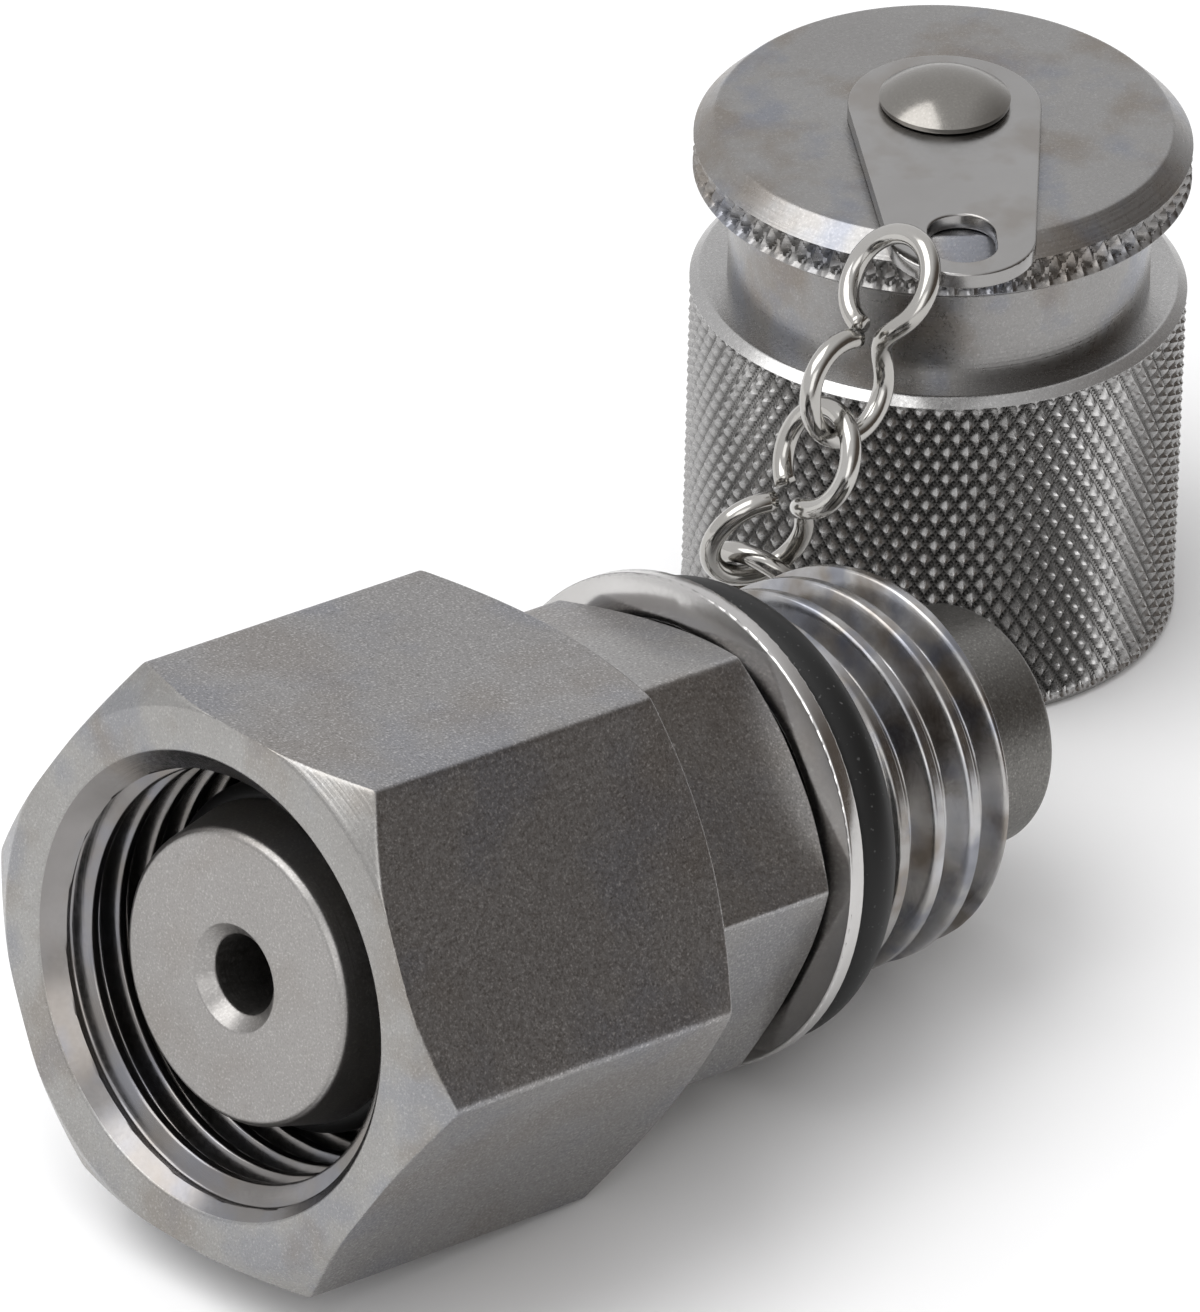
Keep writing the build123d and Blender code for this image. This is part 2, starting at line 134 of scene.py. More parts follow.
def hexagon(theta, across, first, sharp=150.0):
    """Radius of a hexagon bar: one over the p-norm of its six facing cosines, so its corners are eased."""
    flats = first + pi / 6 + np.arange(6) * pi / 3
    facing = np.clip(np.cos(theta[..., None] - flats), 0, None)
    return across / 2 / (facing ** sharp).sum(-1) ** (1 / sharp)


def soft_min(a, b, ease=0.035):
    """The smaller of a and b, rounded where they cross."""
    low = np.minimum(a, b)
    return low - ease * np.log(np.exp((low - a) / ease) + np.exp((low - b) / ease))


def screw(along, theta, pitch, mark, root, crest, land=0.16, foot=0.26):
    """Radius of a right-hand thread: a trapezoid wave of (along - mark) / pitch - theta / turn, its corners eased."""
    phase = (along - mark) / pitch - theta / (2 * pi)
    away = np.abs(phase - np.round(phase)) * 2
    return root + (crest - root) * fade(1 - away, foot, 1 - land)


def fade(value, start, end):
    """0 before start, 1 after end, smooth between."""
    t = np.clip((value - start) / (end - start), 0, 1)
    return t * t * (3 - 2 * t)


def grid_mesh(name, points, closed_path, split=None):
    """Mesh over a grid of points: rows follow the path, columns go once round. split says how to cut a quad."""
    rows, cols = points.shape[:2]
    index = np.arange(rows * cols).reshape(rows, cols)
    if closed_path:
        index = np.vstack([index, index[:1]])
    a, b = index[:-1], index[1:]
    a2, b2 = np.roll(a, -1, 1), np.roll(b, -1, 1)
    if split is None:
        faces = np.stack([a, a2, b2, b], -1).reshape(-1, 4)
    else:
        rising = np.stack([np.stack([a, a2, b2], -1), np.stack([a, b2, b], -1)], -2)
        falling = np.stack([np.stack([a, a2, b], -1), np.stack([a2, b2, b], -1)], -2)
        faces = np.where(split[..., None, None], rising, falling).reshape(-1, 3)
    mesh = bpy.data.meshes.new(name)
    mesh.from_pydata(points.reshape(-1, 3) * MM, [], faces.tolist())
    lengths = np.linalg.norm(np.diff(points[:, 0], axis=0), axis=1)
    run = np.concatenate([[0], np.cumsum(lengths)])
    if closed_path:
        run = np.append(run, run[-1] + 1)
    vert_v = np.repeat(run[:rows], cols)
    vert_u = np.tile(np.linspace(0, 1, cols, endpoint=False), rows)
    layer = mesh.uv_layers.new(name="UVMap")
    loops = np.empty(len(mesh.loops), int)
    mesh.loops.foreach_get("vertex_index", loops)
    places = np.stack([vert_u[loops], vert_v[loops] * 0.1], 1).astype(np.float32)
    layer.data.foreach_set("uv", places.ravel())
    return mesh


def tidy(mesh, crease=34.0, closed=False):
    """Weld poles and seams and shade smooth except past the crease angle. An open surface already points outward,
    since its path keeps the metal on its right; a closed one has its normals worked out."""
    work = bmesh.new()
    work.from_mesh(mesh)
    bmesh.ops.remove_doubles(work, verts=work.verts, dist=2e-7)
    bmesh.ops.dissolve_degenerate(work, edges=work.edges, dist=1e-8)
    if closed:
        bmesh.ops.recalc_face_normals(work, faces=work.faces)
    work.to_mesh(mesh)
    work.free()
    mesh.shade_smooth()
    mesh.set_sharp_from_angle(angle=radians(crease))


def put(name, mesh, finish, body, replaces):
    """A finished piece: object at the origin, material, body, the CAD nodes it stands for."""
    piece = bpy.data.objects.new(name, mesh)
    bpy.context.scene.collection.objects.link(piece)
    if not mesh.materials:
        mesh.materials.append(finish)
    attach(piece, body)
    if replaces:
        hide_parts(*replaces)
    return piece


def turned(place, outline, theta, radius=None):
    """Points of a turned surface: outline (along, r) carried round the place's axis; radius may change r."""
    origin, axis, one, two = place
    along, r = np.meshgrid(outline[:, 0], theta, indexing="ij")[0], outline[:, 1][:, None] + 0 * theta
    angle = np.broadcast_to(theta, along.shape)
    if radius is not None:
        r = radius(along, angle, r)
    return (origin + along[..., None] * axis + (r * np.cos(angle))[..., None] * one
            + (r * np.sin(angle))[..., None] * two)


# ---------------------------------------------------------------- finishes

def metal(name, tint, dark, rough, grain=0.0, turning=0.0, blotch=0.3, fleck=0.0, stains=(), groove_shade=None):
    """Plated or bare steel. Colour drifts from dark to tint in soft patches, stains lie over it, flecks are fine.

    stains holds (colour, patches per metre, share); groove_shade is painted shade, the colour that low places take
    where the piece carries the attribute "height"; grain and turning are bump, one even, the other in rings round the
    piece."""
    mat = bpy.data.materials.new(name)
    mat.use_nodes = True
    nodes, links = mat.node_tree.nodes, mat.node_tree.links
    nodes.clear()
    out = nodes.new("ShaderNodeOutputMaterial")
    shader = nodes.new("ShaderNodeBsdfPrincipled")
    shader.inputs["Metallic"].default_value = 1.0
    links.new(shader.outputs["BSDF"], out.inputs["Surface"])
    coord = nodes.new("ShaderNodeTexCoord")

    def noise(scale, detail, where="Object", stretch=None):
        tex = nodes.new("ShaderNodeTexNoise")
        tex.inputs["Scale"].default_value = scale
        tex.inputs["Detail"].default_value = detail
        source = coord.outputs[where]
        if stretch is not None:
            move = nodes.new("ShaderNodeMapping")
            move.inputs["Scale"].default_value = stretch
            links.new(source, move.inputs["Vector"])
            source = move.outputs["Vector"]
        links.new(source, tex.inputs["Vector"])
        return tex.outputs["Fac"]

    def spread(source, low, high, from_low=0.35, from_high=0.65):
        node = nodes.new("ShaderNodeMapRange")
        node.inputs["From Min"].default_value = from_low
        node.inputs["From Max"].default_value = from_high
        node.inputs["To Min"].default_value = low
        node.inputs["To Max"].default_value = high
        links.new(source, node.inputs["Value"])
        return node.outputs["Result"]

    def over(under, colour, share):
        node = nodes.new("ShaderNodeMix")
        node.data_type = "RGBA"
        if isinstance(under, tuple):
            node.inputs[6].default_value = (*under, 1)
        else:
            links.new(under, node.inputs[6])
        node.inputs[7].default_value = (*colour, 1)
        links.new(share, node.inputs["Factor"])
        return node.outputs[2]

    colour = over(dark, tint, spread(noise(160, 4.0), 1 - blotch, 1.0))
    for stain, scale, share in stains:
        colour = over(colour, stain, spread(noise(scale, 3.0), 0.0, share, 0.50, 0.64))
    if fleck > 0:
        dots = noise(10500, 1.0)
        colour = over(colour, tuple(min(1.0, 2.2 * c) for c in tint), spread(dots, 0.0, fleck, 0.57, 0.74))
        colour = over(colour, tuple(0.45 * c for c in dark), spread(dots, fleck, 0.0, 0.26, 0.43))
    # Painted shade: where the attribute height is low, at the feet of the knurl's grooves, the colour darkens towards
    # the given shade colour.
    if groove_shade is not None:
        level = nodes.new("ShaderNodeAttribute")
        level.attribute_name = "height"
        colour = over(colour, groove_shade, spread(level.outputs["Fac"], 1.0, 0.0, 0.10, 0.75))
    links.new(colour, shader.inputs["Base Color"])
    links.new(spread(noise(5200, 2.0), rough * 0.88, rough * 1.12), shader.inputs["Roughness"])
    last = None
    for strength, depth, height in (
            (grain, 0.00003, (5200, 2.0)), (turning, 0.00003, (60.0, 2.0, "UV", (0.0, 1.3, 1.0)))):
        if strength == 0:
            continue
        bump = nodes.new("ShaderNodeBump")
        bump.inputs["Strength"].default_value = strength
        bump.inputs["Distance"].default_value = depth
        links.new(noise(*height), bump.inputs["Height"])
        if last:
            links.new(last.outputs["Normal"], bump.inputs["Normal"])
        last = bump
    if last:
        links.new(last.outputs["Normal"], shader.inputs["Normal"])
    return mat


def rubber_finish():
    """Black moulded rubber with a little pale dust."""
    mat = bpy.data.materials.new("seal_rubber")
    mat.use_nodes = True
    nodes, links = mat.node_tree.nodes, mat.node_tree.links
    shader = nodes["Principled BSDF"]
    shader.inputs["Roughness"].default_value = 0.50
    shader.inputs["Specular IOR Level"].default_value = 0.35
    coord = nodes.new("ShaderNodeTexCoord")
    dust = nodes.new("ShaderNodeTexNoise")
    dust.inputs["Scale"].default_value = 5200
    dust.inputs["Detail"].default_value = 1.0
    ramp = nodes.new("ShaderNodeValToRGB")
    ramp.color_ramp.elements[0].position = 0.70
    ramp.color_ramp.elements[0].color = (0.006, 0.006, 0.006, 1)
    ramp.color_ramp.elements[1].position = 0.86
    ramp.color_ramp.elements[1].color = (0.12, 0.12, 0.12, 1)
    links.new(coord.outputs["Object"], dust.inputs["Vector"])
    links.new(dust.outputs["Fac"], ramp.inputs["Fac"])
    links.new(ramp.outputs["Color"], shader.inputs["Base Color"])
    return mat


BLUE, BROWN, PALE = (0.20, 0.215, 0.26), (0.215, 0.185, 0.155), (0.50, 0.51, 0.54)
NUT_FINISH = metal("nut_zinc", (0.290, 0.283, 0.280), (0.225, 0.215, 0.205), 0.38, grain=0.22, fleck=0.55,
                   stains=((BLUE, 210, 0.35), (BROWN, 170, 0.35)))
FACE_FINISH = metal("nut_face_zinc", (0.33, 0.325, 0.315), (0.235, 0.225, 0.215), 0.30, turning=0.35, blotch=0.5,
                    fleck=0.2, stains=((BLUE, 330, 0.35), (BROWN, 260, 0.45)))
# The nut's inside thread: its darker tones are painted shade inside the bore; its brown and blue stains are the zinc's
# own.
BORE_FINISH_AND_SHADE = metal("nut_thread_zinc_and_shade", (0.26, 0.25, 0.245), (0.10, 0.093, 0.085), 0.24, turning=0.10, blotch=0.7,
                    stains=((BROWN, 260, 0.4), (BLUE, 330, 0.4)))
BODY_FINISH = metal("body_zinc", (0.315, 0.305, 0.295), (0.26, 0.25, 0.24), 0.36, grain=0.15, turning=0.35, fleck=0.25,
                    stains=((BROWN, 190, 0.25),))
THREAD_FINISH = metal("thread_zinc", (0.47, 0.46, 0.45), (0.26, 0.25, 0.24), 0.24, turning=0.10, blotch=0.8,
                      stains=((BROWN, 420, 0.7), (BLUE, 520, 0.7), (PALE, 360, 0.6)))
NOSE_FINISH = metal("nose_blasted", (0.18, 0.175, 0.165), (0.14, 0.136, 0.128), 0.42, grain=0.45, fleck=0.45)
CAP_FINISH = metal("cap_zinc", (0.29, 0.285, 0.28), (0.225, 0.215, 0.21), 0.30, grain=0.05, turning=0.25, fleck=0.15,
                   stains=((BLUE, 330, 0.6), (BROWN, 260, 0.65)))
# The knurl's zinc, with near-black painted shade at the feet of its grooves.
KNURL_FINISH_AND_SHADE = metal("cap_knurl_zinc_groove_shade", (0.42, 0.415, 0.41), (0.32, 0.315, 0.31), 0.26, grain=0.1, fleck=0.2,
                     groove_shade=(0.055, 0.052, 0.048))
HEX_FINISH = metal("body_hexagon_zinc", (0.33, 0.323, 0.318), (0.27, 0.26, 0.25), 0.38, grain=0.30, fleck=0.5,
                   stains=((BLUE, 210, 0.25), (BROWN, 170, 0.3)))
RIVET_FINISH = metal("rivet_steel", (0.225, 0.215, 0.20), (0.16, 0.15, 0.135), 0.20, grain=0.05, blotch=0.6, fleck=0.1)
WIRE_FINISH = metal("chain_wire", (0.48, 0.47, 0.45), (0.30, 0.285, 0.26), 0.14, blotch=0.5)
RING_FINISH = metal("ring_bright", (0.56, 0.55, 0.54), (0.42, 0.41, 0.40), 0.20, grain=0.05, blotch=0.5)
TAB_FINISH = metal("tab_bright", (0.34, 0.335, 0.33), (0.27, 0.26, 0.25), 0.24, grain=0.05, blotch=0.5,
                   stains=((BROWN, 300, 0.4),))
SPRING_FINISH = metal("drawn_steel", (0.42, 0.42, 0.42), (0.34, 0.34, 0.34), 0.30)
BUSH_FINISH = metal("bush_brass", (0.60, 0.47, 0.24), (0.48, 0.36, 0.18), 0.30)
RUBBER = rubber_finish()


# ---------------------------------------------------------------- pieces

def swivel_nut():
    """Outside: hexagon radius held under two corner cones. Inside: mouth cone, thread, relief and bore."""
    corner = NUT_AF / np.sqrt(3)
    far = corner + 0.3
    slope_rear = (corner + 0.02 - NUT_REAR_R) / NUT_REAR_CHAMFER
    slope_front = (corner + 0.02 - NUT_FACE_R) / NUT_CHAMFER
    rear_far = NUT_LEN - (far - NUT_REAR_R) / slope_rear
    front_far = (far - NUT_FACE_R) / slope_front
    front = bent([(0.08, NUT_MOUTH_R - 0.08), (0, NUT_MOUTH_R, 0.08), (0, NUT_FACE_R - 0.3)], 4)
    flanks = filled(bent([(0, NUT_FACE_R - 0.3), (0, NUT_FACE_R, 0.10), (front_far, far), (rear_far, far),
                          (NUT_LEN, NUT_REAR_R, 0.08), (NUT_LEN, NUT_REAR_R - 0.3)], 4), 0.06)
    flanks = flanks[kept(flanks, 1.0, NUT_CHAMFER + 0.5, NUT_LEN - NUT_REAR_CHAMFER - 0.5)]
    outer = np.concatenate([front[:-1], flanks, [(NUT_LEN, NUT_BORE_R + 0.4)]])
    mesh = grid_mesh("nut_outside", turned(COUPLING, outer, corner_turn(600, 6, 0.0),
                     lambda along, angle, r: soft_min(r, hexagon(angle, NUT_AF, 0.0), 0.05)), False)
    tidy(mesh, 28)
    facing = np.empty(3 * len(mesh.polygons))
    mesh.polygons.foreach_get("normal", facing)
    mesh.materials.append(NUT_FINISH)
    mesh.materials.append(FACE_FINISH)
    mesh.polygons.foreach_set("material_index", (np.abs(facing.reshape(-1, 3) @ AXIS) > 0.45).astype(int))
    put("nut_outside", mesh, NUT_FINISH, "nut", ["swivel_nut"])

    back = filled(bent([
        (NUT_LEN, NUT_BORE_R + 0.4), (NUT_LEN - 0.4, NUT_BORE_R),
        (NUT_RELIEF_END + NUT_RELIEF_R - NUT_BORE_R, NUT_BORE_R, 0.2), (NUT_RELIEF_END, NUT_RELIEF_R, 0.2),
        (NUT_THREAD_END + 0.1, NUT_RELIEF_R)], 3), 2.0)
    turns = np.linspace(NUT_THREAD_END, 0.12, 200)
    mouth = np.linspace(0.08, 0.12, 2)[::-1]
    path = np.concatenate([back, np.stack([turns, np.full(200, NUT_MINOR_R)], 1),
                           np.stack([mouth, NUT_MOUTH_R - mouth], 1)])

    def wound(along, angle, r):
        cone = NUT_MOUTH_R - 0.08 + (NUT_MINOR_R - NUT_MOUTH_R) * (along - 0.08) / NUT_MOUTH_DEPTH
        cut = screw(along, angle, NUT_PITCH, 2.0, NUT_MAJOR_R, NUT_MINOR_R, land=0.2, foot=0.2)
        cut = cut + (NUT_RELIEF_R - cut) * fade(along, NUT_THREAD_END - 0.9, NUT_THREAD_END)
        return np.where(along <= NUT_THREAD_END + 0.001, -soft_min(-cut, -cone, 0.02), r)

    mesh = grid_mesh("nut_inside", turned(COUPLING, path, even_turn(420), wound), False)
    tidy(mesh, 40)
    put("nut_inside", mesh, BORE_FINISH_AND_SHADE, "nut", ["swivel_nut"])


def body_end(name, outline, finish, columns, radius=None, crease=30):
    """One turned stretch of the body."""
    mesh = grid_mesh(name, turned(COUPLING, outline, columns, radius), False)
    tidy(mesh, crease)
    return put(name, mesh, finish, "body", ["coupling_body"])


def coupling_body():
    """Tail with its cone and bore, hexagon, neck, screw end and nose: four stretches of one turned piece."""
    cone_end = TAIL_X + (TAIL_NECK_R - TAIL_R) / tan(radians(CONE_HALF))
    tail = bent([
        (TAIL_BORE_END, 0.0), (TAIL_BORE_END, TAIL_BORE_R), (TAIL_X + 0.6, TAIL_BORE_R, 0.1),
        (TAIL_X, TAIL_BORE_MOUTH, 0.06), (TAIL_X, TAIL_R - 0.25, 0.12),
        (TAIL_X + 0.25, TAIL_R, 0.1), (TAIL_X + SEAL_FROM, TAIL_R + SEAL_LIP_FRONT),
        (TAIL_X + SEAL_FROM, SEAL_FLOOR), (TAIL_X + SEAL_TO, SEAL_FLOOR),
        (TAIL_X + SEAL_TO, TAIL_R + SEAL_LIP_REAR),
        (cone_end, TAIL_NECK_R, 0.2), (HEX_FRONT, TAIL_NECK_R)])
    body_end("body_tail", filled(tail, 0.35), BODY_FINISH, even_turn(256))

    corner = HEX_AF / np.sqrt(3)
    far = corner + 0.1
    first = radians(HEX_TURN)
    bar = bent([(HEX_FRONT, TAIL_NECK_R), (HEX_FRONT, corner - 1.0, 0.1), (HEX_FRONT + 0.7, far),
                (HEX_REAR - 0.85, far), (HEX_REAR, corner - 1.26, 0.15), (HEX_REAR, NECK_R)])
    body_end("body_hexagon", filled(bar, 0.06), HEX_FINISH, corner_turn(480, 6, first),
             lambda along, angle, r: soft_min(r, hexagon(angle, HEX_AF, first)), 26)

    screw_end = bent([
        (HEX_REAR, NECK_R), (THREAD_START, NECK_R), (THREAD_START, THREAD_CREST - 0.3, 0.1),
        (THREAD_START + 0.3, THREAD_CREST), (THREAD_END - 0.7, THREAD_CREST), (THREAD_END, 7.0, 0.15),
        (THREAD_END, NOSE_R)])
    is_neck, is_end = screw_end[:, 0] < THREAD_START, screw_end[:, 0] >= THREAD_END
    between = filled(screw_end[~is_neck & ~is_end], 0.05)
    rows = np.concatenate([screw_end[is_neck], between, screw_end[is_end]])

    def wound(along, angle, r):
        cut = screw(along, angle - pi, THREAD_PITCH, THREAD_MARK, THREAD_ROOT, THREAD_CREST)
        live = fade(along, THREAD_START + 0.2, THREAD_START + 1.3)
        cut = THREAD_CREST + (cut - THREAD_CREST) * live
        return np.where((along > THREAD_START) & (along < THREAD_END), soft_min(r, cut, 0.02), r)

    body_end("body_screw_end", rows, THREAD_FINISH, even_turn(400), wound, 50)
    nose = bent([
        (THREAD_END, NOSE_R), (NOSE_END, NOSE_R, 0.35), (NOSE_END, MOUTH_R, 0.08),
        (MOUTH_END, MOUTH_R), (MOUTH_END, POCKET_R), (POCKET_END, POCKET_R), (POCKET_END, 0.0)])
    body_end("body_nose", filled(nose, 0.5), NOSE_FINISH, even_turn(192))


def knurl(along, angle, depth, low, high):
    """Depth below the crest of diamond knurling: the nearer of two crossing families of V grooves."""
    across = angle * KNURL_ROUND / (2 * pi)
    up = along / KNURL_HIGH
    one = np.abs((across + up) - np.round(across + up)) * 2
    two = np.abs((across - up) - np.round(across - up)) * 2
    land = 0.86
    height = np.clip(np.minimum(one, two) / land, 0, 1)
    ends = fade(along, low, low + 0.25) * fade(-along, -high, -high + 0.25)
    return depth * (1 - height) * ends, one < two


def mark_height(mesh, points, low, high):
    """Attribute "height" of the knurling between levels low and high: 0 at a groove's foot, 1 at a crest and outside;
    it says where the knurl's painted groove shade falls.
    """
    away = np.linalg.norm((points - CAP_FOOT)[..., :2], axis=-1)
    share = np.clip((away - CAP_R + KNURL_DEPTH) / KNURL_DEPTH, 0, 1)
    share = np.where((points[..., 2] > low) & (points[..., 2] < high), share, 1.0)
    level = mesh.attributes.new("height", "FLOAT", "POINT")
    level.data.foreach_set("value", share.astype(np.float32).ravel())


def cap():
    """Knurled skirt, crown with its groove and knurled rim, and the threaded inside."""
    per_cell = 8
    theta = even_turn(KNURL_ROUND * per_cell)
    step = KNURL_HIGH / per_cell
    low, high = CAP_EDGE, CAP_SKIRT_Z - CAP_EDGE
    levels = np.arange(np.ceil(low / step) * step, high, step)
    edge = bent([(0.0, CAP_MOUTH_R), (0.0, CAP_R - CAP_EDGE / 2, 0.08), (low, CAP_R)], 3)
    wall = np.stack([levels, np.full(len(levels), CAP_R)], 1)
    shoulder = bent([(high, CAP_R), (CAP_SKIRT_Z, CAP_R - CAP_EDGE, 0.08), (CAP_SKIRT_Z, CAP_GROOVE_R)], 3)
    outline = np.concatenate([edge, wall, shoulder])

    def skirt(along, angle, r):
        cut, _ = knurl(along, angle, KNURL_DEPTH, low, high)
        return r + 0.05 - cut - 0.05 * (along < low) - 0.05 * (along > high)

    middle = (outline[1:, 0] + outline[:-1, 0])[:, None] / 2
    around = theta + pi / len(theta)
    _, family = knurl(np.broadcast_to(middle, (len(outline) - 1, len(theta))),
                      np.broadcast_to(around, (len(outline) - 1, len(theta))), 1.0, low, high)
    points = turned(CAP, outline, theta, skirt)
    mesh = grid_mesh("cap_skirt", points, False, family)
    mark_height(mesh, points, low, high)
    tidy(mesh, 24)
    put("cap_skirt", mesh, KNURL_FINISH_AND_SHADE, "cap", ["cap_shell"])

    rim_low, rim_high = CAP_RIM_Z + 0.3, CAP_RIM_TOP
    rim_levels = np.arange(rim_low + 0.02, rim_high, 1.4 / 10)
    crown = np.concatenate([
        bent([(CAP_SKIRT_Z, CAP_GROOVE_R), (CAP_RIM_Z - 0.6, CAP_GROOVE_R, 0.15), (CAP_RIM_Z - 0.1, CAP_R - 0.5),
              (rim_low, CAP_R)], 4),
        np.stack([rim_levels, np.full(len(rim_levels), CAP_R)], 1),
        bent([(rim_high, CAP_R), (CAP_H, CAP_TOP_R, 0.12), (CAP_H, RIVET_R + 0.02)], 4)])

    def rim(along, angle, r):
        cut, _ = knurl(along, angle, KNURL_DEPTH, rim_low, rim_high)
        return np.where((along >= rim_low) & (along <= rim_high), r + 0.05 - cut, r)

    mesh = grid_mesh("cap_crown", turned(CAP, filled(crown, 1.2), theta, rim), False)
    tidy(mesh, 26)
    put("cap_crown", mesh, CAP_FINISH, "cap", ["cap_shell"])

    turns = np.stack([np.linspace(0.1, CAP_THREAD_END, 96), np.full(96, CAP_MINOR_R)], 1)
    inner = np.concatenate([np.array([[0.0, CAP_MOUTH_R]]), turns, np.array([
        [CAP_THREAD_END + 0.05, CAP_RELIEF_R], [CAP_RELIEF_END, CAP_RELIEF_R], [CAP_RELIEF_END, CAP_CAVITY_R],
        [CAP_CAVITY_END, CAP_CAVITY_R], [CAP_CAVITY_END, RIVET_R + 0.02]])])

    def threaded(along, angle, r):
        wound = screw(along, angle, THREAD_PITCH, 1.0, CAP_MAJOR_R, CAP_MINOR_R, land=0.2, foot=0.15)
        wound = np.maximum(wound, CAP_MOUTH_R - along)
        return np.where((along > 0.05) & (along <= CAP_THREAD_END), wound, r)

    mesh = grid_mesh("cap_inside", turned(CAP, inner[::-1], even_turn(240), threaded), False)
    tidy(mesh)
    put("cap_inside", mesh, CAP_FINISH, "cap", ["cap_shell"])


def cap_rivet():
    """Domed head over a shank and its upset end, one turned piece."""
    dome = np.linspace(0, 1, 14)
    along = TAB_TOP + RIVET_EDGE + (RIVET_HEAD_H - RIVET_EDGE) * (1 - dome ** RIVET_DOME)
    head = np.stack([along, RIVET_HEAD_R * dome], 1)
    rest = bent([
        (TAB_TOP + RIVET_EDGE, RIVET_HEAD_R), (TAB_TOP, RIVET_HEAD_R - 0.04, 0.12),
        (TAB_TOP, RIVET_R), (CAP_CAVITY_END, RIVET_R),
        (CAP_CAVITY_END, RIVET_R + RIVET_UPSET, 0.1),
        (CAP_CAVITY_END - RIVET_UPSET, RIVET_R + RIVET_UPSET, 0.3),
        (CAP_CAVITY_END - RIVET_UPSET, 0.0)], 4)
    outline = np.concatenate([head, rest[1:]])[::-1]
    mesh = grid_mesh("rivet_turned", turned(CAP, outline, even_turn(96)), False)
    tidy(mesh, 40)
    put("rivet_turned", mesh, RIVET_FINISH, "cap", ["cap_rivet"])


def smoothed(node, name, finish, body, crease=35.0):
    """A welded copy of a solid's own mesh, shaded smooth."""
    mesh = frame["nodes"][node].data.copy()
    mesh.name = name
    mesh.materials.clear()
    work = bmesh.new()
    work.from_mesh(mesh)
    bmesh.ops.remove_doubles(work, verts=work.verts, dist=1e-6)
    work.to_mesh(mesh)
    work.free()
    mesh.shade_smooth()
    mesh.set_sharp_from_angle(angle=radians(crease))
    return put(name, mesh, finish, body, [node])


def rubber_ring():
    """Round section carried round the neck."""
    section = even_turn(40)
    along = DUST_X + DUST_R * np.cos(section)
    outline = np.stack([along, NECK_R + DUST_R + DUST_R * np.sin(section)], 1)
    mesh = grid_mesh("dust_ring_moulded", turned(COUPLING, outline, even_turn(160)), True)
    tidy(mesh, 60, closed=True)
    put("dust_ring_moulded", mesh, RUBBER, "body", ["dust_o_ring"])


swivel_nut()
coupling_body()
cap()
cap_rivet()
rubber_ring()
smoothed("chain_ring", "ring_stamped", RING_FINISH, "ring")
smoothed("chain_tab", "tab_stamped", TAB_FINISH, "tab")
for number in range(1, 7):
    smoothed(f"chain_link_{number}", f"wire_link_{number}", WIRE_FINISH, f"link_{number}", 50)
for node, finish in (("nut_retaining_wire", SPRING_FINISH), ("cone_o_ring", RUBBER), ("valve_poppet", SPRING_FINISH),
                     ("poppet_seal", RUBBER), ("valve_spring", SPRING_FINISH), ("seat_bush", BUSH_FINISH),
                     ("probe_seal", RUBBER), ("seal_retainer", SPRING_FINISH)):
    frame["nodes"][node].data.materials.clear()
    frame["nodes"][node].data.materials.append(finish)


# ---------------------------------------------------------------- floor, light, camera

DIM_SIDE = (0.55, -0.80, -0.20)
PALE_ROOM, DIM_ROOM = (0.93, 0.93, 0.94), (0.12, 0.10, 0.085)
GROUND = (0.96, 0.96, 0.96)
VIEW_TURN, VIEW_HEIGHT, VIEW_ROLL = -45.44, 31.84, 1.51        # degrees
VIEW_AWAY, VIEW_LENS = 0.8308, 576.0                           # metres, millimetres
VIEW_AT = (31.63 - 32.48, 10.54 - 6.85, 10.0)


def floor():
    """White ground that keeps a soft shadow."""
    mesh = bpy.data.meshes.new("ground")
    reach = 3.0
    corners = [(-reach, -reach, 0), (reach, -reach, 0), (reach, reach, 0), (-reach, reach, 0)]
    mesh.from_pydata(corners, [], [(0, 1, 2, 3)])
    ground = bpy.data.objects.new("ground", mesh)
    bpy.context.scene.collection.objects.link(ground)
    mat = bpy.data.materials.new("pale_ground")
    mat.use_nodes = True
    shader = mat.node_tree.nodes["Principled BSDF"]
    shader.inputs["Base Color"].default_value = (*GROUND, 1)
    shader.inputs["Roughness"].default_value = 0.9
    mesh.materials.append(mat)


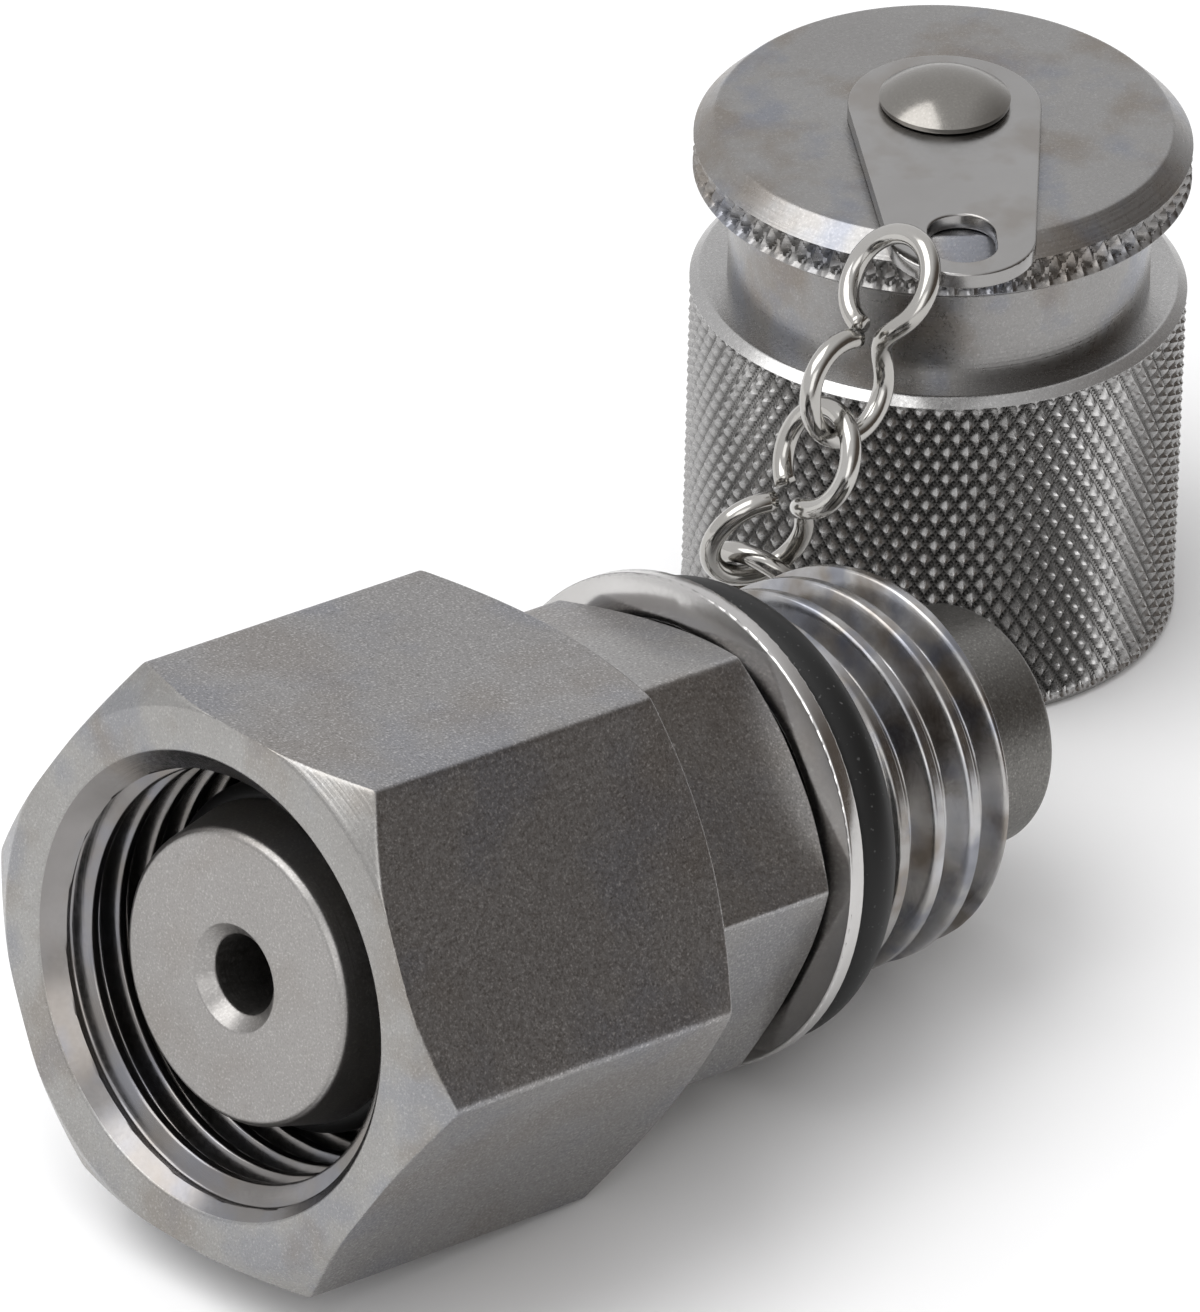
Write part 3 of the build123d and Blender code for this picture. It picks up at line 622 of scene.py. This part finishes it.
def sky():
    """A pale room, dim and warm on one side: the colour follows how far a ray faces that side."""
    world = bpy.data.worlds.new("studio")
    bpy.context.scene.world = world
    world.use_nodes = True
    nodes, links = world.node_tree.nodes, world.node_tree.links
    nodes.clear()
    out = nodes.new("ShaderNodeOutputWorld")
    coord = nodes.new("ShaderNodeTexCoord")
    dim = nodes.new("ShaderNodeVectorMath")
    dim.operation = "DOT_PRODUCT"
    dim.inputs[1].default_value = DIM_SIDE
    links.new(coord.outputs["Generated"], dim.inputs[0])
    ramp = nodes.new("ShaderNodeValToRGB")
    ramp.color_ramp.elements[0].position = 0.15
    ramp.color_ramp.elements[0].color = (*PALE_ROOM, 1)
    ramp.color_ramp.elements[1].position = 0.72
    ramp.color_ramp.elements[1].color = (*DIM_ROOM, 1)
    links.new(dim.outputs["Value"], ramp.inputs["Fac"])
    room = nodes.new("ShaderNodeBackground")
    links.new(ramp.outputs["Color"], room.inputs["Color"])
    links.new(room.outputs["Background"], out.inputs["Surface"])


def lamp(name, at, size, power):
    """Square soft lamp aimed at the part's middle."""
    light = bpy.data.lights.new(name, "AREA")
    light.size = size
    light.energy = power
    place = bpy.data.objects.new(name, light)
    place.location = at
    place.rotation_euler = (Vector((0, 0, 0.01)) - Vector(at)).to_track_quat("-Z", "Y").to_euler()
    bpy.context.scene.collection.objects.link(place)


def camera():
    """Long lens from the nut's front quarter."""
    azimuth, height, roll = radians(VIEW_TURN), radians(VIEW_HEIGHT), radians(VIEW_ROLL)
    target = Vector(VIEW_AT) * MM
    back = Vector((sin(azimuth) * cos(height), -cos(azimuth) * cos(height), sin(height)))
    right = Vector((cos(azimuth), sin(azimuth), 0))
    up = back.cross(right)
    across = right * cos(roll) + up * sin(roll)
    upward = up * cos(roll) - right * sin(roll)
    view = bpy.data.cameras.new("view")
    view.lens = VIEW_LENS
    view.clip_start = 0.01
    view.clip_end = 20
    holder = bpy.data.objects.new("view", view)
    turn = Matrix((across, upward, back)).transposed().to_4x4()
    holder.matrix_world = Matrix.Translation(target + back * VIEW_AWAY) @ turn
    bpy.context.scene.collection.objects.link(holder)
    bpy.context.scene.camera = holder


floor()
sky()
lamp("key", (-0.25, 0.15, 0.55), 0.50, 2.0)
lamp("fill", (-0.5, -0.45, 0.35), 0.4, 0.6)
camera()
bpy.context.scene.view_settings.view_transform = "Standard"
